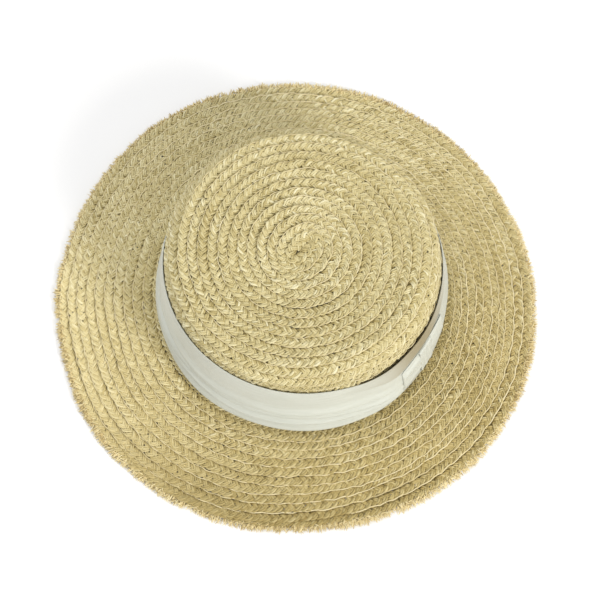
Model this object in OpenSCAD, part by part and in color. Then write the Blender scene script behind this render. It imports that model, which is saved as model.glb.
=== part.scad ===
/* [Crown] */
// Outer radius of the crown's straw where it meets the brim
crown_base_r = 95.5; // [85:0.5:105]
// Outer radius of the crown's straw just below its rounded shoulder
crown_top_r = 88; // [80:0.5:95]
// Height of the crown's tip above the surface the hat rests on
crown_h = 91; // [80:1:110]
// Radius of the rounded shoulder between tip and side
shoulder_r = 14; // [8:1:22]
// How far the crown stands off the brim's centre along X
crown_x = 4.5; // [0:0.5:6]
// How far the crown stands off the brim's centre along Y
crown_y = 1.5; // [0:0.5:4]

/* [Brim] */
// Outer radius of the last round of braid
brim_r = 159; // [150:1:175]
// How much lower the brim's edge lies than its root at the crown
brim_droop = 10; // [4:1:20]
// How far the frayed edge stands out past the last round
fringe_l = 3.5; // [1:0.5:6]

/* [Braid] */
// Width of the plaited braid
braid_w = 7.4; // [6.8:0.1:8]
// Thickness of the plaited braid
braid_t = 2.4; // [1.8:0.1:3]
// Distance from one sewn round to the next on the crown
crown_pitch = 6.32; // [6:0.02:6.6]
// Distance from one sewn round to the next on the brim
brim_pitch = 6.2; // [6:0.05:6.5]
// Angle at which each round lies over the next one out
lap_angle = 11; // [6:1:14]
// Radius of the sewing thread
thread_r = 0.3; // [0.2:0.05:0.4]

/* [Ribbon] */
// Width of the ribbon round the crown
ribbon_w = 52; // [36:1:54]
// Thickness of the ribbon
ribbon_t = 0.7; // [0.5:0.1:0.8]
// Space between the ribbon and the straw all round
ribbon_gap = 0.8; // [0.6:0.1:1.5]
// How far the ribbon's top edge stands off the crown in front of the bow
stand_off = 4.5; // [2:0.5:5]
// Length of the flat bow along the crown
bow_l = 48; // [40:1:60]
// Height of the flat bow
bow_h = 30; // [26:1:36]
// Depth of the bow's flattened loop
bow_d = 2.6; // [2.4:0.1:3.2]
// Width of the wrap round the middle of the bow
wrap_w = 14; // [10:1:18]

/* [Inside] */
// Height of the sweatband
sweatband_h = 30; // [20:1:36]
// Thickness of the sweatband
sweatband_t = 1.2; // [0.8:0.1:1.6]
// Width of the blank label
label_w = 30; // [20:1:36]
// Height of the blank label
label_h = 17; // [10:1:20]
// Thickness of the blank label
label_t = 0.6; // [0.5:0.1:0.8]

/* [Hidden] */
$fn = 96;

straw = [0.80, 0.73, 0.50];
straw_edge = [0.74, 0.62, 0.38];
thread_colour = [0.86, 0.80, 0.62];
ribbon_colour = [0.84, 0.86, 0.79];
cotton = [0.90, 0.88, 0.80];

far = 400;         // larger than the whole hat
touch = 0.01;      // space left between faces that only touch
thread_n = 16;     // sides drawn on the thread's section

// The crown is sewn along the middle of the braid's thickness, from the centre of the tip outwards.
half_skin = 1.6;   // half of the sewn straw's thickness, with its laps
mid_top_r = crown_top_r - half_skin;
mid_base_r = crown_base_r - half_skin;
mid_h = crown_h - half_skin;
mid_shoulder_r = shoulder_r - half_skin;
shoulder_z = crown_h - shoulder_r;
side_lean = atan((crown_base_r - crown_top_r) / (shoulder_z - brim_droop));
tip_len = mid_top_r - mid_shoulder_r;
shoulder_sweep = 90 - side_lean;
shoulder_len = mid_shoulder_r * shoulder_sweep * PI / 180;

coil_rows = 2;
tip_rows = 11;
shoulder_rows = 3;
crown_rows = 25;
brim_rows = 10;
brim_inner_rows = 4;
tip_rise = 1.5;    // how much the tip domes up at its centre

// Centre of the braid and its slope, a length s along the crown from the centre of the tip.
function crown_at(s) =
    s <= tip_len ? [s, mid_h + tip_rise * (1 - pow(s / tip_len, 2)), 0]
    : s <= tip_len + shoulder_len ? let (turn = (s - tip_len) / mid_shoulder_r * 180 / PI)
        [tip_len + mid_shoulder_r * sin(turn), shoulder_z + mid_shoulder_r * cos(turn), -turn]
    : let (down = s - tip_len - shoulder_len, turn = shoulder_sweep)
        [tip_len + mid_shoulder_r * sin(turn) + down * sin(side_lean),
         shoulder_z + mid_shoulder_r * cos(turn) - down * cos(side_lean), -turn];
function crown_row(k) = crown_at((k + 0.5) * crown_pitch);

// The brim's rounds are counted inwards from the edge. The last one lies flat, because the hat rests on it.
function brim_z(r) = brim_droop * (brim_r - r) / (brim_r - crown_base_r);
function brim_row(k) = let (r = brim_r - braid_w / 2 - k * brim_pitch)
    k == 0 ? [r, braid_t / 2, -lap_angle] : [r, brim_z(r) + braid_t / 2, 0];

module at_crown() translate([crown_x, crown_y, 0]) children();

// One round of braid in section, lapping over the next one out.
module bead(row) {
    translate([row[0], row[1]]) rotate(row[2] + lap_angle) {
        square([braid_w - braid_t, braid_t], center = true);
        for (side = [-1, 1]) translate([side * (braid_w - braid_t) / 2, 0]) circle(d = braid_t);
    }
}

// The seam's thread, half sunk in the top of a round near its outer edge.
seam_in = 1.6;     // from a round's outer edge to its seam
module stitch(row) {
    translate([row[0], row[1]]) rotate(row[2] + lap_angle)
        translate([braid_w / 2 - seam_in, braid_t / 2]) circle(r = thread_r, $fn = thread_n);
}

// Rounds in section, cut back where the next zone's round lies under them and along their seams.
module braid_section(rows, next, seams) {
    intersection() {
        difference() {
            for (row = rows) bead(row);
            for (row = next) bead(row);
            for (row = seams) stitch(row);
        }
        square([far, far]);
    }
}

// The seam runs from the second round of the tip to near the crown's foot.
function crown_seams(first, last) =
    [for (k = [first:last]) if (k >= 1 && k < crown_rows - 2) crown_row(k)];
module crown_zone(first, last, next) {
    at_crown() rotate_extrude() braid_section(
        [for (k = [first:last]) crown_row(k)], [for (k = next) crown_row(k)], crown_seams(first, last));
}

// Inside its rounds the brim has a turned-up strip, cut where it meets the crown.
root_in = 1.9;     // from the middle of the innermost round to the strip's outer edge
root_low = 1.78;   // from the middle of that round down to the strip's underside
root_h = 4;
module brim_root(row) translate([0, row[1] - root_low]) square([row[0] - root_in, root_h]);

module brim_zone(first, last, next) {
    rows = [for (k = [first:last]) brim_row(k)];
    difference() {
        rotate_extrude() {
            braid_section(rows, [for (k = next) brim_row(k)], rows);
            if (last == brim_rows - 1) brim_root(brim_row(last));
        }
        at_crown() cylinder(r = crown_base_r + touch, h = 2 * brim_droop);
    }
}

module tip_coil() color(straw) crown_zone(0, coil_rows - 1, [coil_rows]);

module tip_braid() color(straw) crown_zone(coil_rows, tip_rows - 1, [tip_rows]);

module shoulder_braid() color(straw)
    crown_zone(tip_rows, tip_rows + shoulder_rows - 1, [tip_rows + shoulder_rows]);

module side_braid() color(straw) crown_zone(tip_rows + shoulder_rows, crown_rows - 1, []);

module brim_inner_braid() color(straw)
    brim_zone(brim_rows - brim_inner_rows, brim_rows - 1, [brim_rows - brim_inner_rows - 1]);

module brim_outer_braid() color(straw) brim_zone(1, brim_rows - brim_inner_rows - 1, [0]);

module edge_braid() color(straw_edge) brim_zone(0, 0, []);

// The frayed edge is a thin ring of loose fibre, rooted in the last round.
fringe_root = 0.6; // how deep it is rooted
fringe_z = 1.4;
module edge_fringe() color(straw_edge) rotate_extrude() difference() {
    translate([brim_r - fringe_root, fringe_z])
        polygon([[0, -0.8], [fringe_l + fringe_root, -0.5], [fringe_l + fringe_root, 0.5], [0, 0.8]]);
    bead(brim_row(0));
}

// The end of the braid, tucked under the brim and sewn down.
end_arc = 9;       // degrees of the brim that the tucked end covers
end_turn = 196;    // where it lies
end_w = 6;
end_t = 1.6;
module braid_end() {
    row = brim_row(2);
    color(straw_edge) rotate(end_turn) rotate_extrude(angle = end_arc) difference() {
        translate([row[0] - end_w / 2, row[1] - braid_t / 2 - 0.7]) square([end_w, end_t]);
        for (k = [1:3]) bead(brim_row(k));
    }
}

module tip_thread() color(thread_colour) at_crown()
    for (row = crown_seams(0, tip_rows - 1)) rotate_extrude() stitch(row);

module side_thread() color(thread_colour) at_crown()
    for (row = crown_seams(tip_rows, crown_rows - 1)) rotate_extrude() stitch(row);

module brim_thread() color(thread_colour)
    for (k = [0:brim_rows - 1]) rotate_extrude() stitch(brim_row(k));

// The sweatband is a cone against the inside of the side.
inner_clear = 2.3; // from the middle of the straw to the sweatband's outer face
sweatband_z = 11.5;
function mid_side_r(z) = mid_base_r - (z - brim_droop) * tan(side_lean);
function sweatband_r(z) = mid_side_r(z) - inner_clear;
module sweatband_ring(inset, t, z_low, z_high) {
    polygon([
        [sweatband_r(z_low) - inset, z_low], [sweatband_r(z_high) - inset, z_high],
        [sweatband_r(z_high) - inset - t, z_high], [sweatband_r(z_low) - inset - t, z_low]
    ]);
}
sweatband_top = sweatband_z + sweatband_h;

module sweatband() color(cotton) at_crown() rotate_extrude()
    sweatband_ring(0, sweatband_t, sweatband_z, sweatband_top);

// The sweatband's two ends lap at the back of the head.
join_arc = 12;     // degrees that the lap covers
join_turn = 20;    // where it starts, beside the label
module sweatband_join() color(cotton) at_crown() rotate(join_turn) rotate_extrude(angle = join_arc)
    sweatband_ring(sweatband_t + touch, sweatband_t, sweatband_z + 0.5, sweatband_top - 0.5);

// A row of running stitches holds the sweatband to the straw, all round but for its lap.
stitch_n = 60;
stitch_l = 5;
stitch_r = 0.45;
stitch_z = sweatband_z + 2.5;
stitch_sink = 0.06; // what a straight stitch needs to lie clear inside the round band
module sweatband_stitching() color(thread_colour) at_crown() for (i = [0:stitch_n - 1])
    rotate(join_turn + join_arc + (i + 0.5) * (360 - join_arc) / stitch_n)
        translate([sweatband_r(stitch_z) - sweatband_t - stitch_sink, 0, stitch_z])
            rotate([0, -side_lean, 0]) rotate([90, 0, 0]) difference() {
                cylinder(r = stitch_r, h = stitch_l, center = true, $fn = thread_n);
                translate([0, -stitch_l / 2, -stitch_l]) cube([stitch_l, stitch_l, 2 * stitch_l]);
            }

// The label hangs from its top edge, which is sewn to the top of the sweatband at the back.
label_x = sweatband_r(sweatband_top) - sweatband_t - 1.8;
label_top = sweatband_top - 0.4;
label_sew = 2;     // from the label's side to the stitch at its corner
module care_label() color(cotton) at_crown()
    translate([label_x - label_t / 2, -label_w / 2, label_top - label_h]) cube([label_t, label_w, label_h]);

module label_stitches() color(thread_colour) at_crown() for (side = [-1, 1])
    translate([label_x - label_t / 2, side * (label_w / 2 - label_sew) - 0.5, sweatband_top + touch])
        cube([2.8, 1, 0.8]);

// The ribbon is swept round the crown: its section follows the side and flares where it stands off.
ribbon_z = brim_droop + 4.6;
stand_turn = -50;  // where it stands off the most
stand_before = 12; // how quickly it leaves the crown, in degrees
stand_after = 30;  // how slowly it comes back to it, in degrees
flare_power = 3;
function gauss(x) = exp(-x * x);
function stand(a) =
    stand_off * gauss((a - stand_turn) / (a < stand_turn ? stand_before : stand_after));
function crown_side_r(z) = crown_base_r - (z - brim_droop) * tan(side_lean);
function ribbon_r(a, up, out) =
    crown_side_r(ribbon_z + up * ribbon_w) + ribbon_gap + out
    + stand(a) * (0.25 + 0.75 * pow(up, flare_power));
// The lower part of the ribbon is folded up on itself in soft pleats: each row is [height, thickness].
pleats = [[0, 1.8], [0.14, 1.8], [0.18, 1.4], [0.32, 1.4], [0.36, 1], [0.6, 1], [0.8, 1], [1, 1]];
function ribbon_section(folds) = concat(
    [for (p = folds) [p[0], p[1] * ribbon_t]],
    [for (i = [len(folds) - 1:-1:0]) [folds[i][0], 0]]
);

// A closed or open strip swept from angle start over n steps of the given size.
module strip(section, start, step, n, extra = 0) {
    m = len(section);
    closed = n * step >= 360;
    rings = closed ? n : n + 1;
    points = [for (i = [0:rings - 1], p = section)
        let (a = start + i * step, r = ribbon_r(a, p[0], p[1] + extra))
        [r * cos(a), r * sin(a), ribbon_z + p[0] * ribbon_w]];
    sides = [for (i = [0:n - 1], j = [0:m - 1])
        let (a = i * m, b = ((i + 1) % rings) * m, k = (j + 1) % m)
        each [[a + j, b + k, a + k], [a + j, b + j, b + k]]];
    ends = closed ? [] : [[for (j = [0:m - 1]) j], [for (j = [m - 1:-1:0]) n * m + j]];
    polyhedron(points, concat(sides, ends));
}

ribbon_step = 4;
module band_ribbon() color(ribbon_colour) at_crown()
    strip(ribbon_section(pleats), -230, ribbon_step, 360 / ribbon_step);

// The ribbon's loose end, lapped over the band beside the wrap of the bow.
lap_folds = [for (up = [0.4, 0.6, 0.8, 0.97]) [up, 1]];
lap_start = -51;
lap_step = 1.5;
lap_steps = 7;
lap_clear = 0.15;
module band_lap() color(ribbon_colour) at_crown()
    strip(ribbon_section(lap_folds), lap_start, lap_step, lap_steps, ribbon_t + lap_clear);

// The flat bow is straight, and lies across the bulge of the ribbon.
bow_turn = -29;    // the way the bow faces
bow_shift = -8.5;  // from its middle to the point where it is nearest the crown
bow_clear = 4;     // from the crown's side to the back of the bow, at the bow's middle height
bow_z = ribbon_z + 13;
bow_lean = 4.5;    // the bow leans in less than the side does
module at_bow() {
    middle = crown_side_r(bow_z + bow_h / 2) + bow_clear + bow_d / 2;
    at_crown() rotate(bow_turn) translate([middle, bow_shift, bow_z + bow_h / 2])
        rotate([0, -bow_lean, 0]) children();
}

module flat_loop(l, d) {
    square([d, l - d], center = true);
    for (side = [-1, 1]) translate([0, side * (l - d) / 2]) circle(d = d);
}

module bow_loop() color(ribbon_colour) at_bow()
    linear_extrude(bow_h, center = true) difference() {
        flat_loop(bow_l, bow_d);
        flat_loop(bow_l - 2 * ribbon_t, bow_d - 2 * ribbon_t);
    }

module bow_wrap() color(ribbon_colour) at_bow() rotate([90, 0, 0])
    linear_extrude(wrap_w, center = true) difference() {
        square([bow_d + 2 * ribbon_t, bow_h + 2 * ribbon_t], center = true);
        square([bow_d + 2 * touch, bow_h + 2 * touch], center = true);
    }

// Thread tacks on the back of the bow, where it is sewn to the band.
tack_r = 0.4;
tack_l = 3;
module bow_stitches() color(thread_colour) at_bow() for (along = [14, 20])
    translate([-bow_d / 2 - tack_r, along, bow_h / 2 - 8]) rotate([90, 0, 0])
        cylinder(r = tack_r, h = tack_l, center = true, $fn = thread_n);

tip_coil();
tip_braid();
shoulder_braid();
side_braid();
brim_inner_braid();
brim_outer_braid();
edge_braid();
edge_fringe();
braid_end();
tip_thread();
side_thread();
brim_thread();
sweatband();
sweatband_join();
sweatband_stitching();
label_stitches();
care_label();
band_ribbon();
band_lap();
bow_loop();
bow_wrap();
bow_stitches();
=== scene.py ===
import math

import bpy
import numpy as np
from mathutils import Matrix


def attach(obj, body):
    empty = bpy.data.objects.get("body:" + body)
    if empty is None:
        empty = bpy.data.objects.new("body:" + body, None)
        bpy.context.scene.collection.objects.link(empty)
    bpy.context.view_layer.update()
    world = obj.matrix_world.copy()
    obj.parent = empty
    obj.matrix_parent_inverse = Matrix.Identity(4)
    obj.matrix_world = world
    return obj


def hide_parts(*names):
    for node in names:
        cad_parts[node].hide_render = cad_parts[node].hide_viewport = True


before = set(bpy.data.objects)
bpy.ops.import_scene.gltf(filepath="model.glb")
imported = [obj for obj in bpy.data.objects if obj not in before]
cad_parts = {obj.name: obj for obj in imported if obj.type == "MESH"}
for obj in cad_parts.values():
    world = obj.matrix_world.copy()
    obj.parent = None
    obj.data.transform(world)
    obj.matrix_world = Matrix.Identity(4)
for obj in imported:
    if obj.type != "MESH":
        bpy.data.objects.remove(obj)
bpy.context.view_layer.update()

MM = 0.001
DEG = math.pi / 180
NONE = -1               # in place of a triangle's fourth corner

# ---------------------------------------------------------------- the hat's measures in mm, as in the CAD
CROWN = np.array([4.5, 1.5])     # the crown's centre from the brim's
CROWN_BASE_R, SHOULDER_Z = 95.5, 77.0
MID_H, MID_SHOULDER_R, TIP_LEN = 89.4, 12.4, 74.0
LEAN = math.atan(7.5 / 67)       # of the crown's side
SWEEP = math.pi / 2 - LEAN
SHOULDER_LEN = MID_SHOULDER_R * SWEEP
TIP_RISE = 1.5
BRIM_R, BRIM_DROOP = 159.0, 10.0
BRAID_W, BRAID_T, LAP = 7.9, 2.4, 15 * DEG    # each round is tilted to lap over the next
CROWN_PITCH, CROWN_ROUNDS = 6.32, 25
BRIM_PITCH, BRIM_ROUNDS = 6.2, 10
RIBBON_Z = 14.6


def smooth(x, lo=0.0, hi=1.0):
    t = np.clip((x - lo) / (hi - lo), 0, 1)
    return t * t * (3 - 2 * t)


def gauss(x):
    return np.exp(-x * x)


def wander(rng, x, step, size, longest=None):
    """A smooth random line through seeded values that lie `step` apart, for x from 0 to `longest`."""
    knots = rng.normal(0, size, int((longest or np.max(x)) / step) + 5)
    i = np.floor(x / step).astype(int)
    t = x / step - i
    a, b, c, d = knots[i], knots[i + 1], knots[i + 2], knots[i + 3]
    return b + 0.5 * t * (c - a + t * (2 * a - 5 * b + 4 * c - d + t * (3 * (b - c) + d - a)))


def unit(v):
    return v / np.maximum(np.linalg.norm(v, axis=-1, keepdims=True), 1e-12)


def polar(r, a, z):
    """Points at a radius and an angle in degrees round the crown's centre."""
    return np.stack([r * np.cos(a * DEG) + CROWN[0], r * np.sin(a * DEG) + CROWN[1], z], -1)


def square_grid(us, vs):
    return np.meshgrid(us, vs, indexing="ij")


# ---------------------------------------------------------------- meshes
def mesh_object(name, verts, faces, body, attributes):
    """A mesh on a body, from vertices in millimetres and faces of four corners. A triangle ends in NONE."""
    mesh = bpy.data.meshes.new(name)
    verts = np.asarray(verts, np.float32).reshape(-1, 3) * MM
    sizes = np.where(faces[:, 3] == NONE, 3, 4)
    corners = faces[faces != NONE]
    mesh.vertices.add(len(verts))
    mesh.vertices.foreach_set("co", verts.ravel())
    mesh.loops.add(len(corners))
    mesh.loops.foreach_set("vertex_index", corners.astype(np.int32))
    mesh.polygons.add(len(sizes))
    starts = np.concatenate([[0], np.cumsum(sizes)[:-1]]).astype(np.int32)
    mesh.polygons.foreach_set("loop_start", starts)
    mesh.update(calc_edges=True)
    mesh.validate()
    for key, kind, values in attributes:
        layer = mesh.attributes.new(key, kind, "POINT")
        field = "vector" if kind == "FLOAT_VECTOR" else "value"
        layer.data.foreach_set(field, np.asarray(values, np.float32).ravel())
    mesh.polygons.foreach_set("use_smooth", np.full(len(mesh.polygons), True))
    obj = bpy.data.objects.new(name, mesh)
    bpy.context.scene.collection.objects.link(obj)
    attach(obj, body)
    return obj


def tube_faces(rings, sides, first=0):
    """The faces of a tube whose vertices are numbered ring by ring, with its two end caps."""
    i = np.arange(rings - 1)[:, None] * sides
    j = np.arange(sides)[None, :]
    k = (j + 1) % sides
    wall = np.stack([i + j, i + k, i + sides + k, i + sides + j], axis=-1).reshape(-1, 4) + first
    m = np.arange(1, sides - 1)
    none = np.full(len(m), NONE)
    last = first + (rings - 1) * sides
    start = np.stack([first + 0 * m, first + m + 1, first + m, none], axis=-1)
    end = np.stack([last + 0 * m, last + m, last + m + 1, none], axis=-1)
    return np.vstack([wall, start, end])


def fibre_map(along, turn, strand):
    """Where the vertices of a tube lie in the straw's texture: along it, round it, and which strand it is."""
    rings, sides = len(along), len(turn)
    return np.stack([np.repeat(along[:, None], sides, 1), np.tile(turn, (rings, 1)),
                     np.full((rings, sides), strand)], -1)


def turns(sides):
    return np.arange(sides) * 2 * math.pi / sides


def round_rings(line, r, wide, thick, turn):
    """The vertices of a round tube along a line."""
    return line[:, None] + r[:, None, None] * (
        np.cos(turn)[None, :, None] * wide[:, None] + np.sin(turn)[None, :, None] * thick[:, None])


def tubes(name, parts, body):
    """Several tubes in one mesh. Each part is vertices and fibre as rings x sides x 3, and tint as rings."""
    verts, faces, fibres, tints, count = [], [], [], [], 0
    for points, fibre, tint in parts:
        rings, sides = points.shape[:2]
        verts.append(points.reshape(-1, 3))
        faces.append(tube_faces(rings, sides, count))
        fibres.append(fibre.reshape(-1, 3))
        tints.append(np.repeat(tint, sides))
        count += rings * sides
    attributes = [("fibre", "FLOAT_VECTOR", np.vstack(fibres)), ("tint", "FLOAT", np.concatenate(tints))]
    return mesh_object(name, np.vstack(verts), np.vstack(faces), body, attributes)


def shell(name, outer, inner, body, closed, attributes):
    """A thin closed skin between two grids of the same size (u x v x 3). u may run round and close."""
    nu, nv = outer.shape[:2]
    verts = np.vstack([outer.reshape(-1, 3), inner.reshape(-1, 3)])
    base = nu * nv
    u = np.arange(nu if closed else nu - 1)
    v = np.arange(nv - 1)
    here, after = u * nv, (u + 1) % nu * nv
    i, n = here[:, None], after[:, None]
    top = np.stack([i + v, n + v, n + v + 1, i + v + 1], -1).reshape(-1, 4)
    faces = [top, top[:, ::-1] + base]
    for edge, turn in ((0, 1), (nv - 1, -1)):
        rim = np.stack([here + edge, here + edge + base, after + edge + base, after + edge], -1)
        faces.append(rim[:, ::turn])
    if not closed:
        for edge, turn in ((0, -1), ((nu - 1) * nv, 1)):
            rim = np.stack([edge + v, edge + v + base, edge + v + 1 + base, edge + v + 1], -1)
            faces.append(rim[:, ::turn])
    return mesh_object(name, verts, np.vstack(faces), body, attributes)


# ---------------------------------------------------------------- the path of the sewn braid
def crown_profile(s):
    """Radius, height and slope of the middle of the straw, a length s from the centre of the tip."""
    turn = np.clip((s - TIP_LEN) / MID_SHOULDER_R, 0, SWEEP)
    down = np.maximum(s - TIP_LEN - SHOULDER_LEN, 0)
    flat = np.minimum(s, TIP_LEN)
    r = flat + MID_SHOULDER_R * np.sin(turn) + down * math.sin(LEAN)
    z = np.where(
        s <= TIP_LEN,
        MID_H + TIP_RISE * (1 - (flat / TIP_LEN) ** 2),
        SHOULDER_Z + MID_SHOULDER_R * np.cos(turn) - down * math.cos(LEAN),
    )
    slope = np.where(s <= TIP_LEN, -2 * TIP_RISE * flat / TIP_LEN**2, -turn)
    return r, z, slope


STEP_FROM, STEP_TO = 0.64, 0.84    # the part of a turn in which one of the last rounds steps outwards


def rounds(q, total):
    """How many rounds out the braid is after q turns. The last rounds step out, so that the edge closes."""
    q = np.minimum(q, total + 0.999)
    k = np.floor(q)
    u = q - k
    late = smooth(q, total - 5, total - 1)
    step = (1 - late) * u + late * smooth(u, STEP_FROM, STEP_TO)
    return np.minimum(k + step, total)


EDGE_OUT = 0.7
EDGE_WAVES = (          # waves in the brim's round, its size in mm, its start in radians
    (1, 0.8, 69 * DEG), (2, 1.2, 34 * DEG), (3, 1.5, 76 * DEG), (7, 0.3, 1),
)
EDGE_BUMPS = (          # where along the edge in degrees, how wide, how far out in mm
    (352, 14, -1.6), (92, 14, -1.4), (196, 12, -2.0), (256, 8, 0.8), (179, 8, 1.2), (127, 13, 1.1),
)


def outline(a):
    """How far the brim's edge stands in or out of its circle, at an angle in radians."""
    out = EDGE_OUT
    for waves, size, start in EDGE_WAVES:
        out = out + size * np.cos(waves * a + start)
    for middle, width, size in EDGE_BUMPS:
        out = out + size * gauss(((a / DEG - middle + 180) % 360 - 180) / width)
    return out


CROWN_TURN = 150 * DEG  # where the braid starts at the centre of the tip
BRIM_TURN = 175 * DEG   # where the last round steps out and the braid's end is tucked in
COIL_AXIS = 47 * DEG    # the first rounds are folded flat along this line
COIL_FOLD = 4.5         # half the length of that fold
COIL_R = 17             # how far out the fold is still felt
COIL_PINCH, PINCH_R = 0.25, 12      # how much narrower the coil is across the fold, and how far out
FOOT_SPREAD = 0.65        # rounds by which the crown's lowest ones spread, so that they close its foot
ROOT_GAP = 1.5          # room between the crown and the brim's first round
TUCK_FROM, TUCK_TO, TUCK_IN = 0.80, 0.95, 11    # when in the last turn its end is tucked in, and how far
EDGE_LIFT = 0.7         # in three places the brim's edge stands this far off the table


def upright(a, slope):
    """Which way is outwards along the straw and which is up out of it, at an angle and a slope."""
    out = np.stack([np.cos(a) * np.cos(slope), np.sin(a) * np.cos(slope), np.sin(slope)], -1)
    up = np.stack([-np.cos(a) * np.sin(slope), -np.sin(a) * np.sin(slope), np.cos(slope)], -1)
    return out, up


def crown_path(q):
    """Points of the braid's middle on the crown after q turns, and which way is out and up there."""
    a = CROWN_TURN - 2 * math.pi * q
    wider = FOOT_SPREAD * smooth(q, CROWN_ROUNDS - 11, CROWN_ROUNDS - 1)
    s = CROWN_PITCH * np.minimum(rounds(q, CROWN_ROUNDS) + wider, CROWN_ROUNDS - 0.2)
    r, z, slope = crown_profile(s)
    fold = COIL_FOLD * np.exp(-((s / COIL_R) ** 2))
    along = r * np.cos(a - COIL_AXIS) + fold * np.tanh(1.6 * np.cos(a - COIL_AXIS))
    side = r * np.sin(a - COIL_AXIS) * (1 - COIL_PINCH * np.exp(-((s / PINCH_R) ** 2)))
    x = along * math.cos(COIL_AXIS) - side * math.sin(COIL_AXIS) + CROWN[0]
    y = along * math.sin(COIL_AXIS) + side * math.cos(COIL_AXIS) + CROWN[1]
    z = z - 1.5 * smooth(0.62 - q, 0, 0.4)      # the braid's first end is tucked under
    return np.stack([x, y, z], -1), *upright(a, slope)


def crown_reach(a, r):
    """Distance from the brim's centre to a circle of radius r round the crown's centre, at an angle."""
    away, towards = np.linalg.norm(CROWN), math.atan2(CROWN[1], CROWN[0])
    return away * np.cos(a - towards) + np.sqrt(r**2 - (away * np.sin(a - towards)) ** 2)


def brim_z(r):
    return BRIM_DROOP * (BRIM_R - r) / (BRIM_R - CROWN_BASE_R)


def brim_path(q):
    """The same as crown_path for the brim, from its inner round outwards."""
    a = BRIM_TURN - 2 * math.pi * q
    edge = BRIM_R - BRAID_W / 2 + outline(a)
    room = edge - crown_reach(a, CROWN_BASE_R + ROOT_GAP)
    inwards = (BRIM_ROUNDS - rounds(q, BRIM_ROUNDS)) * BRIM_PITCH
    full = BRIM_ROUNDS * BRIM_PITCH
    r = edge - inwards + (full - room) * (inwards / full) ** 3
    r = np.maximum(r, crown_reach(a, CROWN_BASE_R - 0.5))
    tuck = smooth(q, BRIM_ROUNDS + TUCK_FROM, BRIM_ROUNDS + TUCK_TO)
    r = r - TUCK_IN * tuck
    z = brim_z(r - outline(a)) + BRAID_T / 2 + 0.05 + EDGE_LIFT * (1 + np.sin(3 * a + 0.6)) / 2
    z = np.maximum(z - 1.5 * tuck, 1.25) - 1.3 * smooth(0.3 - q, 0, 0.6)    # its first turn lies lower
    slope = -math.atan(BRIM_DROOP / (BRIM_R - CROWN_BASE_R)) * smooth(inwards, 2, 12)
    return np.stack([r * np.cos(a), r * np.sin(a), z], -1), *upright(a, slope)


crown_path.start, brim_path.start = 0.0, -1.0
PATH_MAX = 15000        # more than the length of either path


def vary(rng, at, step, size):
    """A random line along a whole path, so that every stretch of it is given the same line."""
    return wander(rng, at, step, size, PATH_MAX)


# (length in mm over which it changes, size): tilt of the braid, its middle sideways and up
TILT_VARIES, ASIDE_VARIES, UP_VARIES = (45, 2.2 * DEG), (28, 0.20), (35, 0.13)


def run(path, q0, q1, step):
    """Evenly spaced samples of a path: turns, length along it, points, and across and out of the braid."""
    q = np.linspace(path.start, q1, int((q1 - path.start) * 400) + 2)
    length = np.concatenate([[0], np.cumsum(np.linalg.norm(np.diff(path(q)[0], axis=0), axis=1))])
    at = np.arange(np.interp(q0, q, length), length[-1], step)
    q = np.interp(at, length, q)
    p, out, up = path(q)
    t = unit(np.gradient(p, axis=0))
    up = unit(up - np.sum(up * t, -1, keepdims=True) * t)
    out = np.cross(up, t) * np.sign(np.sum(np.cross(up, t) * out, -1, keepdims=True))
    rng = np.random.default_rng(5)
    lap = (LAP + vary(rng, at, *TILT_VARIES))[:, None]
    p = p + vary(rng, at, *ASIDE_VARIES)[:, None] * out + vary(rng, at, *UP_VARIES)[:, None] * up
    side = np.cos(lap) * out + np.sin(lap) * up
    normal = np.cos(lap) * up - np.sin(lap) * out
    return q, at, p, side, normal


# ---------------------------------------------------------------- the plait
STRANDS = 3
PLAIT_L = 11.6          # length in which a strand crosses over and back
STRAND_W, STRAND_T = 1.6, 1.25
PAIR = 1.25             # two lengths of raffia lie this far apart in each strand
SWING = (BRAID_W - STRAND_W - PAIR) / 2
RISE = 0.64             # how far a strand rises and dips as it crosses
PRESSED = 0.45          # the brim's lower left is pressed this much flatter
PRESSED_WAY, PRESSED_FROM, PRESSED_TO = (0.82, 0.57), 88, 122
PAINTED_LAP_SHADE = 0.26        # painted shade, how much darker a strand is where it goes under
# (length in mm over which it changes, size)
PHASE_VARIES, PHASE_JITTERS = (40, 0.12), (6, 0.17)
SWING_VARIES, RISE_VARIES, HEIGHT_VARIES = (9, 0.05), (7, 0.12), (11, 0.09)
PAIR_VARIES, BUMP_VARIES = (8, 0.10), (4, 0.18)
WIDTH_VARIES, THICKNESS_VARIES, ROLL_VARIES = (3, 0.16), (2.8, 0.19), (5, 0.32)
TINT_VARIES = (7, 0.06), (40, 0.10), (300, 0.06)


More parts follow.
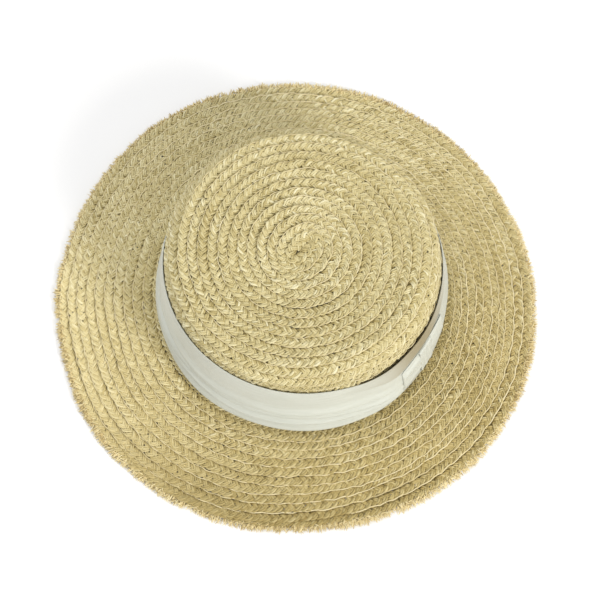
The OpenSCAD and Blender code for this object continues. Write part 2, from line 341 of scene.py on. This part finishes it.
def plait(path, q0, q1, samples, sides, seed):
    """The six lengths of raffia in a stretch of braid, as (turns, rings, fibre, tint) each."""
    q, at, p, side, normal = run(path, q0, q1, PLAIT_L / samples)
    lower_left = -PRESSED_WAY[0] * p[:, 0] - PRESSED_WAY[1] * p[:, 1]
    flat = 1 - PRESSED * smooth(lower_left, PRESSED_FROM, PRESSED_TO)
    turn = turns(sides)
    made = []
    for i in range(2 * STRANDS):
        rng = np.random.default_rng(seed + i // 2)
        phase = 2 * math.pi * (at / PLAIT_L + (i // 2) / STRANDS) + vary(rng, at, *PHASE_VARIES)
        phase = phase + vary(rng, at, *PHASE_JITTERS)
        x = SWING * (1 + vary(rng, at, *SWING_VARIES)) * np.sin(phase)
        y = RISE * flat * (1 + vary(rng, at, *RISE_VARIES)) * np.sin(2 * phase)
        y = y + vary(rng, at, *HEIGHT_VARIES)
        line = p + x[:, None] * side + y[:, None] * normal
        run_along = unit(np.gradient(line, axis=0))
        wide = unit(np.cross(normal, run_along))
        thick = np.cross(run_along, wide)
        rng = np.random.default_rng(seed + 50 + i)
        apart = PAIR * (i % 2 - 0.5) * (1 + vary(rng, at, *PAIR_VARIES))
        line = line + apart[:, None] * wide + vary(rng, at, *BUMP_VARIES)[:, None] * thick
        w = STRAND_W / 2 * (1 + vary(rng, at, *WIDTH_VARIES))
        h = STRAND_T / 2 * (1 + vary(rng, at, *THICKNESS_VARIES))
        roll = vary(rng, at, *ROLL_VARIES)
        u = np.outer(w, np.cos(turn))
        v = np.outer(h, np.sign(np.sin(turn)) * np.abs(np.sin(turn)) ** 0.8)
        uu = u * np.cos(roll)[:, None] - v * np.sin(roll)[:, None]
        vv = u * np.sin(roll)[:, None] + v * np.cos(roll)[:, None]
        rings = line[:, None] + uu[..., None] * wide[:, None] + vv[..., None] * thick[:, None]
        # painted shade and highlight: a strand is a little lighter where it crosses over and darker where it
        # dips, and darker still where it goes under the round before
        tint = 0.54 + flat * (0.05 * np.sin(2 * phase) - PAINTED_LAP_SHADE * smooth(-x / SWING, 0.3, 0.95))
        for varies in TINT_VARIES:
            tint = tint + flat * vary(rng, at, *varies)
        fibre = fibre_map(at * 0.10, turn * 1.4, seed * 3.1 + i * 11.7)
        made.append((q, rings, fibre, np.clip(tint, 0.08, 0.92)))
    return made


def split(strands, marks):
    """Cuts plaited strands at the given turns, and gives each zone its list of tubes."""
    zones = []
    for lo, hi in zip(marks[:-1], marks[1:]):
        parts = []
        for q, rings, fibre, tint in strands:
            i, j = np.searchsorted(q, lo), min(np.searchsorted(q, hi) + 1, len(q))
            parts.append((rings[i:j], fibre[i:j], tint[i:j]))
        zones.append(parts)
    return zones


# where the zones of the crown and of the brim begin and end, in turns
TIP_FROM, SHOULDER_FROM, SIDE_FROM, CROWN_END = 2, 11, 14, CROWN_ROUNDS + 0.3
BRIM_FROM, OUTER_FROM, EDGE_FROM = -0.95, 4.9, BRIM_ROUNDS - 0.16
END_FROM, BRIM_END = BRIM_ROUNDS + 0.87, BRIM_ROUNDS + 0.97
CROWN_SEED, BRIM_SEED = 11, 31

tip = plait(crown_path, 0.0, SHOULDER_FROM, 9.7, 6, CROWN_SEED)
upper = plait(crown_path, SHOULDER_FROM, SIDE_FROM, 9.7, 6, CROWN_SEED)
lower = plait(crown_path, SIDE_FROM, CROWN_END, 7.0, 4, CROWN_SEED)
brim = plait(brim_path, BRIM_FROM, BRIM_END, 8.8, 5, BRIM_SEED)
coil_zone, tip_zone = split(tip, [0.0, TIP_FROM, SHOULDER_FROM])
(shoulder_zone,) = split(upper, [SHOULDER_FROM, SIDE_FROM])
(side_zone,) = split(lower, [SIDE_FROM, CROWN_END])
inner_zone, outer_zone, edge_zone, end_zone = split(
    brim, [BRIM_FROM, OUTER_FROM, EDGE_FROM, END_FROM, BRIM_ROUNDS + 1])

crown_pieces, brim_pieces = [], []
for name, node, parts, group in (
    ("straw_coil", "tip_coil", coil_zone, crown_pieces),
    ("straw_tip", "tip_braid", tip_zone, crown_pieces),
    ("straw_shoulder", "shoulder_braid", shoulder_zone, crown_pieces),
    ("straw_side", "side_braid", side_zone, crown_pieces),
    ("straw_brim_inner", "brim_inner_braid", inner_zone, brim_pieces),
    ("straw_brim_outer", "brim_outer_braid", outer_zone, brim_pieces),
    ("straw_edge", "edge_braid", edge_zone, brim_pieces),
    ("straw_end", "braid_end", end_zone, brim_pieces),
):
    obj = tubes(name, parts, "straw_hat")
    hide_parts(node)
    group.append(obj)


# ---------------------------------------------------------------- the sewing thread
STITCH_L = 9.0
SUNK_AT, SUNK_BY = 218 * DEG, 0.75     # towards the lower left the thread lies deep in the straw


def seam(name, path, q0, q1, node, radius, seed):
    """A thread along the outer part of each round, that dips into the straw once in every stitch."""
    _, at, p, side, normal = run(path, q0, q1, 1.5)
    rng = np.random.default_rng(seed)
    dip = np.cos(2 * math.pi * at / STITCH_L)
    x = BRAID_W / 2 - 0.45 + 0.30 * np.sin(2 * math.pi * at / PLAIT_L) + wander(rng, at, 7, 0.22)
    y = 0.66 - 0.8 * smooth(dip, 0.3, 1) + wander(rng, at, 6, 0.20)
    y = y - SUNK_BY * smooth(np.cos(np.arctan2(p[:, 1], p[:, 0]) - SUNK_AT), 0.1, 0.8)
    line = p + x[:, None] * side + y[:, None] * normal
    turn = turns(6)
    rings = round_rings(line, radius * (1 + wander(rng, at, 5, 0.12)), side, normal, turn)
    fibre = fibre_map(at * 0.3, turn, seed * 5.3)
    obj = tubes(name, [(rings, fibre, 0.6 + wander(rng, at, 60, 0.15))], "straw_hat")
    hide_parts(node)
    return obj


threads = [
    seam("seam_tip", crown_path, 1.2, SHOULDER_FROM, "tip_thread", 0.26, 41),
    seam("seam_side", crown_path, SHOULDER_FROM, CROWN_ROUNDS - 1.2, "side_thread", 0.28, 42),
    seam("seam_brim", brim_path, 0.3, BRIM_ROUNDS - 0.3, "brim_thread", 0.40, 43),
]


# ---------------------------------------------------------------- the frayed edge
TUFT = 7                # fibres in a tuft
SHORTEST = 110 * DEG    # towards the back the fibres are shorter


def fringe(name, count, seed):
    """Fibres in tufts all round the brim's edge, each a bent and tapering three-sided tube."""
    rng = np.random.default_rng(seed)
    tuft = rng.uniform(0, 2 * math.pi, count // TUFT)
    a = np.repeat(tuft, TUFT) + rng.normal(0, 0.0065, len(tuft) * TUFT)
    n = len(a)
    root = BRIM_R + outline(a) - rng.uniform(-0.3, 2.6, n)
    height = rng.uniform(1.2, 3.7, n)
    long = rng.gamma(16, 0.23, n) * (1 + 0.10 * np.sin(np.repeat(tuft, TUFT) * 23))
    long = np.clip(long, 1.2, 4.8) * (0.94 - 0.10 * np.cos(a - SHORTEST))
    heading = np.repeat(rng.normal(0, 0.3, len(tuft)), TUFT) + rng.normal(0, 0.5, n)
    lift = rng.normal(0.16, 0.30, n)
    curl = rng.normal(0, 0.5, n)
    width = rng.uniform(0.20, 0.46, n)
    rings, sides = 4, 3
    out = np.stack([np.cos(a), np.sin(a), 0 * a], -1)
    around = np.stack([-np.sin(a), np.cos(a), 0 * a], -1)
    up = np.array([0, 0, 1.0])
    points = np.empty((n, rings, 3))
    points[:, 0] = root[:, None] * out + height[:, None] * up
    for k in range(1, rings):
        head = heading + curl * k / rings
        rise = lift - 0.10 * k
        step = (np.cos(head)[:, None] * out + np.sin(head)[:, None] * around) * np.cos(rise)[:, None]
        step = step + np.sin(rise)[:, None] * up
        points[:, k] = points[:, k - 1] + step * (long / (rings - 1))[:, None]
    points[..., 2] = np.maximum(points[..., 2], 0.35)
    along = unit(points[:, -1] - points[:, 0])
    wide = unit(np.cross(along, up))
    thick = np.cross(wide, along)
    taper = np.array([1.0, 0.95, 0.7, 0.15])
    cx, cy = np.array([1, -1, 0.0]), np.array([-0.4, -0.4, 0.7])
    size = width[:, None] * taper[None, :]
    verts = (
        points[:, :, None]
        + (size[..., None] * cx)[..., None] * wide[:, None, None]
        + (size[..., None] * cy)[..., None] * thick[:, None, None]
    )
    faces = np.vstack([tube_faces(rings, sides, i * rings * sides) for i in range(n)])
    tint = np.clip(rng.normal(0.5, 0.22, n) + 0.12 * np.sin(np.repeat(tuft, TUFT) * 5), 0, 1)
    fibre = np.stack([np.tile(np.repeat(np.arange(rings) * 0.3, sides), n),
                      np.repeat(rng.uniform(0, 50, n), rings * sides),
                      np.repeat(rng.uniform(0, 50, n), rings * sides)], -1)
    obj = mesh_object(name, verts.reshape(-1, 3), faces, "straw_hat",
                      [("fibre", "FLOAT_VECTOR", fibre), ("tint", "FLOAT", np.repeat(tint, rings * sides))])
    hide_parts("edge_fringe")
    return obj


frayed = fringe("frayed_edge", 9800, 51)


# ---------------------------------------------------------------- the ribbon
BAND_FROM = -230        # where its grid begins, in degrees, at the back left
BAND_OFF, LAP_OFF = 1.2, 0.62       # its outer face from the crown's side, and the lap's from that
# where the ribbon's top edge stands off the crown: middle and width in degrees, size
STANDS_OFF = (-33, 26, 2.2), (-52, 9, 3.1), (-182, 20, 0.3)
# the folds along it, from the lowest: how deep, how much that varies, the random lines for its depth and its
# height, height, how much that varies, width above, share of that width below
FOLDS = (
    (2.6, 0.12, (0, 1), 0.085, 0.010, 0.070, 0.6), (2.6, 0.20, (2, 0), 0.235, 0.018, 0.050, 0.14),
    (2.3, 0.30, (1, 2), 0.36, 0.022, 0.055, 0.14), (1.5, 0.35, (0, 1), 0.50, 0.030, 0.080, 0.16),
)


def crown_side_r(z):
    return CROWN_BASE_R - (z - BRIM_DROOP) * math.tan(LEAN)


def from_back(a):
    """An angle in degrees, counted on from where the ribbon's grid begins."""
    return (a - BAND_FROM) % 360 + BAND_FROM


def stand(a):
    """How far the ribbon's top edge stands off the crown, at an angle in degrees."""
    return sum(size * gauss((from_back(a) - middle) / width) for middle, width, size in STANDS_OFF)


def ribbon_top(a):
    """The height of its top edge, highest at the lower left and with a dip beside the bow."""
    return 67.0 + 6.5 * np.cos((a + 124) * DEG) - 2.0 * gauss((a + 62) / 10)


def pleat(v, middle, size, below):
    """A soft fold across the ribbon's height: steep below, gentle above."""
    d = (v - middle) / size
    return np.where(d < 0, gauss(d / below), gauss(d))


def ribbon_points(a, v, out=0.0):
    """Points of the ribbon's outer face: a in degrees, v from 0 at its lower edge to 1 at its top."""
    low = RIBBON_Z - 0.8 + 0.5 * np.cos((a + 100) * DEG)
    z = low + v * (ribbon_top(a) - low)
    rng = np.random.default_rng(61)
    m = (a + 400) % 360
    ends = smooth(np.minimum(m, 360 - m), 0, 20)
    lines = [wander(rng, m, 24, 1.0) * ends for _ in range(3)]
    folds = 0
    for deep, deeper, (i, j), height, higher, above, below in FOLDS:
        folds = folds + deep * (1 + deeper * lines[i]) * pleat(v, height + higher * lines[j], above, below)
    ripple = 0.18 * (1 - v) * np.sin((m * 7 + 4 * lines[0]) * DEG) + 0.12 * lines[2] * np.sin(math.pi * v)
    m = from_back(a)
    folded = 0.25 + 0.75 * smooth(m, -235, -165) * smooth(-m, 45, 62)     # less where the bow pulls it flat
    away = stand(a) * (0.3 + 0.7 * smooth(v, 0.05, 0.3) - 0.75 * smooth(v, 0.84, 1))
    away = away + 2.0 * gauss((m - 8) / 13) * (1 - 0.6 * v)     # at the right it stands out at its foot
    hug = 0.35 * smooth(v, 0.85, 1) * (1 - smooth(stand(a), 0, 1))
    return polar(crown_side_r(z) + BAND_OFF + out + (folds + ripple) * folded + away - hug, a, z)


def skin_normals(grid, closed):
    du = (np.roll(grid, -1, 0) - np.roll(grid, 1, 0)) if closed else np.gradient(grid, axis=0)
    dv = np.gradient(grid, axis=1)
    return unit(np.cross(du, dv))


def cloth_shell(name, outer, thickness, node, body="ribbon", closed=False):
    """Cloth under a grid of points. Its weave follows the lengths along and across the grid."""
    inner = outer - thickness * skin_normals(outer, closed)
    nu, nv = outer.shape[:2]
    width = np.concatenate([[0], np.cumsum(np.linalg.norm(np.diff(outer[:, nv // 2], axis=0), axis=1))])
    high = np.cumsum(np.linalg.norm(np.diff(outer, axis=1), axis=2), 1)
    high = np.concatenate([np.zeros((nu, 1)), high], 1)
    cloth = np.stack([np.repeat(width[:, None], nv, 1), high, np.zeros((nu, nv))], -1).reshape(-1, 3)
    obj = shell(name, outer, inner, body, closed, [("cloth", "FLOAT_VECTOR", np.concatenate([cloth, cloth]))])
    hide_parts(node)
    return obj


def paint_shade_behind_bow(obj, a, v):
    """Marks the upper margin behind the bow for painted shade, which darkens the ribbon there towards the
    colour of straw in shadow.
    """
    value = gauss((a + 34) / 24) * smooth(v, 0.80, 0.86)
    layer = obj.data.attributes.new("painted_shade", "FLOAT", "POINT")
    layer.data.foreach_set("value", np.tile(value.ravel(), 2).astype(np.float32))


around, up = square_grid(np.arange(BAND_FROM, BAND_FROM + 360, 1.5), np.linspace(0, 1, 117))
band = cloth_shell("ribbon_band", ribbon_points(around, up), 0.5, "band_ribbon", closed=True)
paint_shade_behind_bow(band, around, up)

around, up = square_grid(np.linspace(-48, -36, 12), np.linspace(0.30, 0.82, 24))
lap = cloth_shell("ribbon_lap", ribbon_points(around, up, LAP_OFF), 0.4, "band_lap")

# ---------------------------------------------------------------- the flat bow
BOW_TURN, BOW_SHIFT, BOW_LEAN = -29 * DEG, -8.5, 6.5 * DEG
BOW_L, BOW_H, BOW_D = 48.0, 31.0, 2.0
BOW_Z = RIBBON_Z + 13 + BOW_H / 2
BOW_OFF = 3.0           # its back from the crown's side
BOW_MIDDLE = crown_side_r(BOW_Z) + BOW_OFF + BOW_D / 2
BOW_BEND = 0.55         # how much of the crown's curve it follows


def at_bow(p):
    """From the bow's own frame (out of the crown, along it, up) to the hat's."""
    x, y, z = p[..., 0], p[..., 1], p[..., 2]
    x = x - BOW_BEND * (y + BOW_SHIFT) ** 2 / (2 * crown_side_r(BOW_Z))
    x, z = x * math.cos(BOW_LEAN) - z * math.sin(BOW_LEAN), x * math.sin(BOW_LEAN) + z * math.cos(BOW_LEAN)
    x, y, z = x + BOW_MIDDLE, y + BOW_SHIFT, z + BOW_Z
    cos, sin = math.cos(BOW_TURN), math.sin(BOW_TURN)
    return np.stack([x * cos - y * sin + CROWN[0], x * sin + y * cos + CROWN[1], z], -1)


def stadium(t, length, depth):
    """Points round a flattened loop: t runs once round from 0 to 1, from the middle of its front."""
    straight = length - depth
    half, r = straight / 2, depth / 2
    arc = math.pi * r
    total = 2 * straight + 2 * arc
    d = (t * total) % total
    x = np.empty_like(d)
    y = np.empty_like(d)
    start = 0
    for part, make in (
        (half, lambda e: (r + 0 * e, e)),
        (arc, lambda e: (r * np.cos(e / r), half + r * np.sin(e / r))),
        (straight, lambda e: (-r + 0 * e, half - e)),
        (arc, lambda e: (-r * np.cos(e / r), -half - r * np.sin(e / r))),
        (half + 1, lambda e: (r + 0 * e, -half + e)),
    ):
        on = (d >= start) & (d < start + part)
        x[on], y[on] = make(d[on] - start)
        start += part
    return x, y


t, v = square_grid(np.arange(0, 1, 1 / 160), np.linspace(-1, 1, 25))
bx, by = stadium(t, BOW_L, BOW_D)
waist = gauss(by / 9)
pressed = 1 - 0.6 * smooth(np.abs(v), 0.4, 1)
crease = 0.25 * np.sin(v * 6 + by * 0.10) * (1 - waist) * np.sign(bx) + 0.12 * np.sin(v * 13 - by * 0.07)
bx = (bx + BOW_D / 2) * pressed - BOW_D / 2
bz = v * BOW_H / 2 * (1 - 0.05 * gauss((np.abs(by) - BOW_L / 2) / 8)) + 0.3 * np.sin(by * 0.16) * v
bow = cloth_shell("bow", at_bow(np.stack([bx + crease, by, bz], -1)), 0.4, "bow_loop", closed=True)

WRAP_W = 14.0
t, v = square_grid(np.arange(0, 1, 1 / 120), np.linspace(-1, 1, 21))
wx, wz = stadium(t, BOW_H + 0.3, BOW_D + 0.3)
tuck_in = 0.16 * np.cos(v * 9 + 0.6) + 0.10 * np.cos(v * 17 + 2)
wx = wx + tuck_in * np.sign(wx) * smooth(np.abs(wx), 0.2, 1.2)
wy = v * WRAP_W / 2 * (1 - 0.05 * gauss(wz / 12))
wrap = cloth_shell("bow_knot", at_bow(np.stack([wx, wy, -wz], -1)), 0.4, "bow_wrap", closed=True)


def bar(points, radius, seed):
    """A short piece of thread along the given points, tapering at its ends."""
    along = unit(np.gradient(points, axis=0))
    wide = unit(np.cross(along, np.array([0.3, 0.2, 1.0])))     # no thread runs this way
    n = len(points)
    r = radius * (1 - 0.65 * np.abs(np.linspace(-1, 1, n)) ** 6)
    turn = turns(8)
    rings = round_rings(points, r, wide, np.cross(wide, along), turn)
    fibre = fibre_map(np.arange(n) * 0.3, turn, seed * 1.7)
    return rings, fibre, np.full(n, 0.55 + 0.15 * math.sin(seed * 2.4))


def thread_piece(name, bars, body, node):
    obj = tubes(name, bars, body)
    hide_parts(node)
    return obj


TACKS_AT, TACK_DOWN = (14, 20), 8       # along the bow from its middle, and down from its top
ends = np.linspace(-1, 1, 9)
bars = []
for i, along in enumerate(TACKS_AT):
    for j in (-1, 0, 1):
        points = np.stack([-BOW_D / 2 - 0.35 - 0.12 * gauss(ends * 1.5), along + 1.5 * ends,
                           BOW_H / 2 - TACK_DOWN + 0.55 * j + 0.12 * ends * j], -1)
        bars.append(bar(at_bow(points), 0.3, i * 3 + j))
tacks = thread_piece("bow_tacks", bars, "ribbon", "bow_stitches")

# ---------------------------------------------------------------- the sweatband and its label
SWEATBAND_Z, SWEATBAND_H = 11.5, 30.0
SWEATBAND_TOP = SWEATBAND_Z + SWEATBAND_H
STITCHES = 60
WALL_IN, TAPE_IN = 1.6, 2.3     # from the straw's outer face to its middle, and on to the tape's outer face
TAPE_T, LABEL_GAP = 1.2, 1.8


def sweatband_r(z):
    return CROWN_BASE_R - WALL_IN - (z - BRIM_DROOP) * math.tan(LEAN) - TAPE_IN


def band_inside(a, z, inset):
    return polar(sweatband_r(z) - inset, a, z)


around, up = square_grid(np.arange(0, 360, 1.5), np.linspace(0, 1, 13))
puckers = 0.12 * np.sin(around * STITCHES * DEG) * gauss((up - 0.08) / 0.12)
grid = band_inside(around, SWEATBAND_Z + up * SWEATBAND_H, 0.15 + puckers)
sweat = cloth_shell("sweatband_tape", grid, 1.0, "sweatband", "straw_hat", True)
around, up = square_grid(np.linspace(20, 32, 14), np.linspace(0, 1, 13))
grid = band_inside(around, SWEATBAND_Z + 0.5 + up * (SWEATBAND_H - 1), TAPE_T + 0.02)
join = cloth_shell("sweatband_lap", grid, 1.0, "sweatband_join", "straw_hat", False)

bars = []
for i in range(STITCHES):
    a = 32 + (i + 0.5) * 348 / STITCHES
    z = SWEATBAND_Z + 2.5 + 0.15 * math.sin(i * 2.1)
    points = band_inside(a + ends * 1.6, z + 0 * ends, 1.15 + 0.28 * (1 - ends**6))
    bars.append(bar(points, 0.32, i))
stitches = thread_piece("sweatband_stitches", bars, "straw_hat", "sweatband_stitching")

LABEL_X, LABEL_W, LABEL_H = sweatband_r(SWEATBAND_TOP) - TAPE_T - LABEL_GAP, 30.0, 17.0
LABEL_TOP = SWEATBAND_TOP - 0.4
side, down = square_grid(np.linspace(-1, 1, 33), np.linspace(-1, 0, 21))
curl = 0.10 * np.cos(side * 5) * down
grid = np.stack([LABEL_X + 0.28 + curl + CROWN[0], side * LABEL_W / 2 + CROWN[1],
                 LABEL_TOP + down * LABEL_H], -1)
label = cloth_shell("blank_label", grid, 0.5, "care_label", "label", False)
over = np.linspace(0, 1, 11)
bars = []
for i, y in enumerate((-1, 1)):
    for j in (-1, 0, 1):
        points = np.stack([LABEL_X + CROWN[0] - 0.1 + 2.6 * over,
                           y * (LABEL_W / 2 - 2) + CROWN[1] + 0.45 * j + 0 * over,
                           SWEATBAND_TOP + 0.3 + 0.35 * np.sin(math.pi * over)], -1)
        bars.append(bar(points, 0.2, i * 3 + j))
label_tacks = thread_piece("label_tacks", bars, "straw_hat", "label_stitches")


# ---------------------------------------------------------------- materials
class Paint:
    """A material whose nodes are added one at a time."""

    def __init__(self, name, roughness, specular, sheen=0.0, sheen_roughness=0.5):
        self.material = bpy.data.materials.new(name)
        self.material.use_nodes = True
        self.tree = self.material.node_tree
        self.shader = self.tree.nodes["Principled BSDF"]
        self.shader.inputs["Roughness"].default_value = roughness
        self.shader.inputs["Specular IOR Level"].default_value = specular
        self.shader.inputs["Sheen Weight"].default_value = sheen
        self.shader.inputs["Sheen Roughness"].default_value = sheen_roughness

    def add(self, kind, links=(), **values):
        node = self.tree.nodes.new(kind)
        for key, value in values.items():
            if hasattr(node, key) and key not in node.inputs:
                setattr(node, key, value)
            else:
                node.inputs[key].default_value = value
        for key, source in dict(links).items():
            self.tree.links.new(source, node.inputs[key])
        return node

    def attribute(self, key, output="Vector"):
        return self.add("ShaderNodeAttribute", attribute_name=key).outputs[output]

    def place(self):
        return self.add("ShaderNodeTexCoord").outputs["Object"]

    def beyond(self, direction, limit, strength):
        """How far a point lies past a limit in a direction, times a strength."""
        node = self.add("ShaderNodeVectorMath", {"Vector": self.place()}, operation="DOT_PRODUCT")
        node.inputs[1].default_value = direction
        over = self.math("MAXIMUM", self.math("SUBTRACT", node.outputs["Value"], limit), 0.0)
        return self.math("MULTIPLY", over, strength)

    def noise(self, vector, scale, detail, roughness=0.5):
        return self.add("ShaderNodeTexNoise", {"Vector": vector}, Scale=scale, Detail=detail,
                        Roughness=roughness).outputs["Fac"]

    def ramp(self, fac, stops):
        node = self.add("ShaderNodeValToRGB", {"Fac": fac})
        while len(node.color_ramp.elements) < len(stops):
            node.color_ramp.elements.new(0.5)
        for element, (where, colour) in zip(node.color_ramp.elements, stops):
            element.position = where
            element.color = (*colour, 1)
        return node.outputs["Color"]

    def math(self, how, a, b):
        node = self.tree.nodes.new("ShaderNodeMath")
        node.operation = how
        for socket, value in zip(node.inputs, (a, b)):
            if isinstance(value, (int, float)):
                socket.default_value = value
            else:
                self.tree.links.new(value, socket)
        return node.outputs[0]

    def mix(self, fac, a, b, how="MIX"):
        node = self.tree.nodes.new("ShaderNodeMix")
        node.data_type = "RGBA"
        node.blend_type = how
        for key, value in ((0, fac), (6, a), (7, b)):
            if isinstance(value, (int, float)):
                node.inputs[key].default_value = value
            elif isinstance(value, tuple):
                node.inputs[key].default_value = (*value, 1)
            else:
                self.tree.links.new(value, node.inputs[key])
        return node.outputs[2]

    def scaled(self, vector, by):
        return self.add("ShaderNodeMapping", {"Vector": vector}, Scale=by).outputs["Vector"]

    def finish(self, colour, height, distance, strength):
        self.tree.links.new(colour, self.shader.inputs["Base Color"])
        bump = self.add("ShaderNodeBump", {"Height": height}, Distance=distance, Strength=strength)
        self.tree.links.new(bump.outputs["Normal"], self.shader.inputs["Normal"])
        return self.material


def straw_paint(name, stops, ageing, age_colour, painted_light=()):
    """Dried raffia: fibres along the strand, strands of different tints, and larger patches that have aged.
    Each painted light is a direction across the hat, where it begins, how fast it grows, and its colour:
    painted shade or painted highlight on that side of the hat."""
    p = Paint(name, 0.55, 0.30, 0.1, 0.4)
    fibre = p.attribute("fibre")
    lines = p.noise(p.scaled(fibre, (0.5, 2.2, 1.0)), 3.0, 4.0, 0.65)
    patches = p.noise(p.scaled(fibre, (1.0, 0.1, 1.0)), 0.9, 2.0)
    # the tint holds the strands' own tints and, on the braid, painted shade where the strands dip and go
    # under
    tint = p.attribute("tint", "Fac")
    for texture, share in ((patches, 0.7), (lines, 0.5)):
        tint = p.math("ADD", tint, p.math("MULTIPLY", p.math("SUBTRACT", texture, 0.5), share))
    colour = p.ramp(tint, stops)
    aged = p.noise(p.place(), 22.0, 3.0, 0.6)
    colour = p.mix(p.math("MULTIPLY", aged, ageing), colour, age_colour, "MULTIPLY")
    # painted shade and painted highlight, multiplied into the colour by where a point lies across the hat
    for direction, limit, strength, tone in painted_light:
        colour = p.mix(p.beyond(direction, limit, strength), colour, tone, "MULTIPLY")
    return p.finish(colour, lines, 0.00022, 0.7)


STRAW = [(0.0, (0.26, 0.20, 0.07)), (0.25, (0.45, 0.37, 0.16)), (0.5, (0.57, 0.49, 0.25)),
         (0.75, (0.68, 0.61, 0.36)), (1.0, (0.80, 0.75, 0.52))]
FRAYED = [(0.0, (0.42, 0.31, 0.12)), (0.35, (0.77, 0.63, 0.32)), (0.7, (0.89, 0.78, 0.47)),
          (1.0, (0.88, 0.79, 0.50))]
SEAM = [(0.0, (0.46, 0.37, 0.17)), (0.5, (0.68, 0.58, 0.33)), (1.0, (0.80, 0.71, 0.46))]
COTTON = [(0.0, (0.70, 0.62, 0.42)), (1.0, (0.88, 0.82, 0.66))]
# painted shade and painted highlight on the brim, by where it lies across the hat
BRIM_PAINTED_LIGHT = (
    ((3.2, -4.8, 0), -0.5, 0.5, (0.80, 0.71, 0.50)),    # painted shade, darker and more golden towards the front right
    ((-9, 0, 0), 0.54, 0.5, (1.5, 1.5, 1.6)),           # painted highlight, lighter at the left
    ((-1.5, -6, 0), 0.70, 3.0, (0.70, 0.66, 0.55)),     # painted shade, darker at the front's edge
)
PAINTED_SHADE_BEHIND_BOW = (0.26, 0.215, 0.115)                     # painted shade, the olive of straw in shadow, for the ribbon's upper margin behind the bow

crown_straw = straw_paint("crown_straw", STRAW, 0.25, (0.80, 0.78, 0.62))
brim_straw = straw_paint("brim_straw", STRAW, 0.1, (0.82, 0.78, 0.56), BRIM_PAINTED_LIGHT)
edge_straw = straw_paint("edge_straw", FRAYED, 0.2, (0.85, 0.76, 0.56))
thread_straw = straw_paint("seam_thread", SEAM, 0.1, (0.9, 0.85, 0.7))


def cloth_paint(name, light, dark, weave, rib, roughness, specular, sheen, bump):
    """Woven tape: ribs across it and a fine thread along it, with a slow change of tone."""
    p = Paint(name, roughness, specular, sheen, 0.35)
    cloth = p.attribute("cloth")
    across = p.add("ShaderNodeTexWave", {"Vector": cloth}, Scale=rib, Distortion=0.4, wave_type="BANDS",
                   bands_direction="X").outputs["Fac"]
    along = p.add("ShaderNodeTexWave", {"Vector": cloth}, Scale=weave, Distortion=0.3, wave_type="BANDS",
                  bands_direction="Y").outputs["Fac"]
    crossing = p.math("MULTIPLY", across, along)
    slub = p.noise(p.scaled(cloth, (0.04, 0.5, 1.0)), 1.0, 3.0, 0.6)
    tone = p.math("ADD", p.math("MULTIPLY", slub, 0.75), p.math("MULTIPLY", crossing, 0.25))
    colour = p.ramp(tone, [(0.2, dark), (0.7, light)])
    # painted shade on the upper margin behind the bow, where the attribute marks it
    colour = p.mix(p.attribute("painted_shade", "Fac"), colour, PAINTED_SHADE_BEHIND_BOW)
    return p.finish(colour, p.math("ADD", crossing, p.math("MULTIPLY", slub, 0.5)), bump, 0.6)


ribbon_paint = cloth_paint("satin_ribbon", (0.60, 0.615, 0.55), (0.51, 0.53, 0.46), weave=0.9, rib=0.5,
                           roughness=0.42, specular=0.4, sheen=0.35, bump=0.00006)
tape_paint = cloth_paint("cotton_tape", (0.80, 0.76, 0.62), (0.62, 0.57, 0.43), weave=0.35, rib=0.25,
                         roughness=0.85, specular=0.2, sheen=0.3, bump=0.00016)
label_paint = cloth_paint("woven_label", (0.86, 0.85, 0.80), (0.72, 0.71, 0.66), weave=0.6, rib=0.5,
                          roughness=0.7, specular=0.25, sheen=0.3, bump=0.00008)
cotton_thread = straw_paint("cotton_thread", COTTON, 0.1, (0.9, 0.85, 0.7))

for paint, painted in (
    (crown_straw, crown_pieces),
    (brim_straw, brim_pieces),
    (edge_straw, [frayed]),
    (thread_straw, threads),
    (ribbon_paint, [band, lap, bow, wrap]),
    (tape_paint, [sweat, join]),
    (label_paint, [label]),
    (cotton_thread, [stitches, label_tacks, tacks]),
):
    for obj in painted:
        obj.data.materials.append(paint)

# ---------------------------------------------------------------- camera, floor and light
ELEVATION = 70.9 * DEG
TARGET = (0.0031, -0.0007, 0.0)
AWAY = 1.183            # from the camera to its target, in metres
FLOOR_DOWN = 0.0002
camera = bpy.data.objects.new("camera", bpy.data.cameras.new("camera"))
bpy.context.scene.collection.objects.link(camera)
camera.location = (TARGET[0], TARGET[1] - AWAY * math.cos(ELEVATION), TARGET[2] + AWAY * math.sin(ELEVATION))
camera.rotation_euler = (math.pi / 2 - ELEVATION, 0, 0)
camera.data.sensor_width = 36
camera.data.lens = 104.55
bpy.context.scene.camera = camera

floor_mesh = bpy.data.meshes.new("floor")
floor_mesh.from_pydata([(-4, -4, 0), (4, -4, 0), (4, 4, 0), (-4, 4, 0)], [], [(0, 1, 2, 3)])
floor = bpy.data.objects.new("floor", floor_mesh)
floor.location.z = -FLOOR_DOWN
bpy.context.scene.collection.objects.link(floor)
pale = Paint("pale_floor", 0.9, 0.1)
pale.shader.inputs["Base Color"].default_value = (0.93, 0.93, 0.93, 1)
floor_mesh.materials.append(pale.material)


def area_light(name, location, size, power, colour):
    """A square light that faces the hat's middle."""
    data = bpy.data.lights.new(name, "AREA")
    data.size, data.energy, data.color = size, power, colour
    obj = bpy.data.objects.new(name, data)
    bpy.context.scene.collection.objects.link(obj)
    obj.location = location
    d = -np.array(location)
    obj.rotation_euler = (math.acos(-d[2] / np.linalg.norm(d)), 0, math.atan2(d[1], d[0]) - math.pi / 2)


area_light("key", (1.29, -1.38, 1.15), size=0.7, power=36, colour=(1.0, 0.97, 0.93))
area_light("top", (-0.75, 0.45, 2.05), size=2.0, power=28, colour=(1.0, 1.0, 1.0))
world = bpy.data.worlds.new("studio")
world.use_nodes = True
background = world.node_tree.nodes["Background"]
background.inputs["Color"].default_value = (1.0, 1.0, 1.0, 1)
background.inputs["Strength"].default_value = 0.56
bpy.context.scene.world = world
bpy.context.scene.view_settings.view_transform = "Standard"
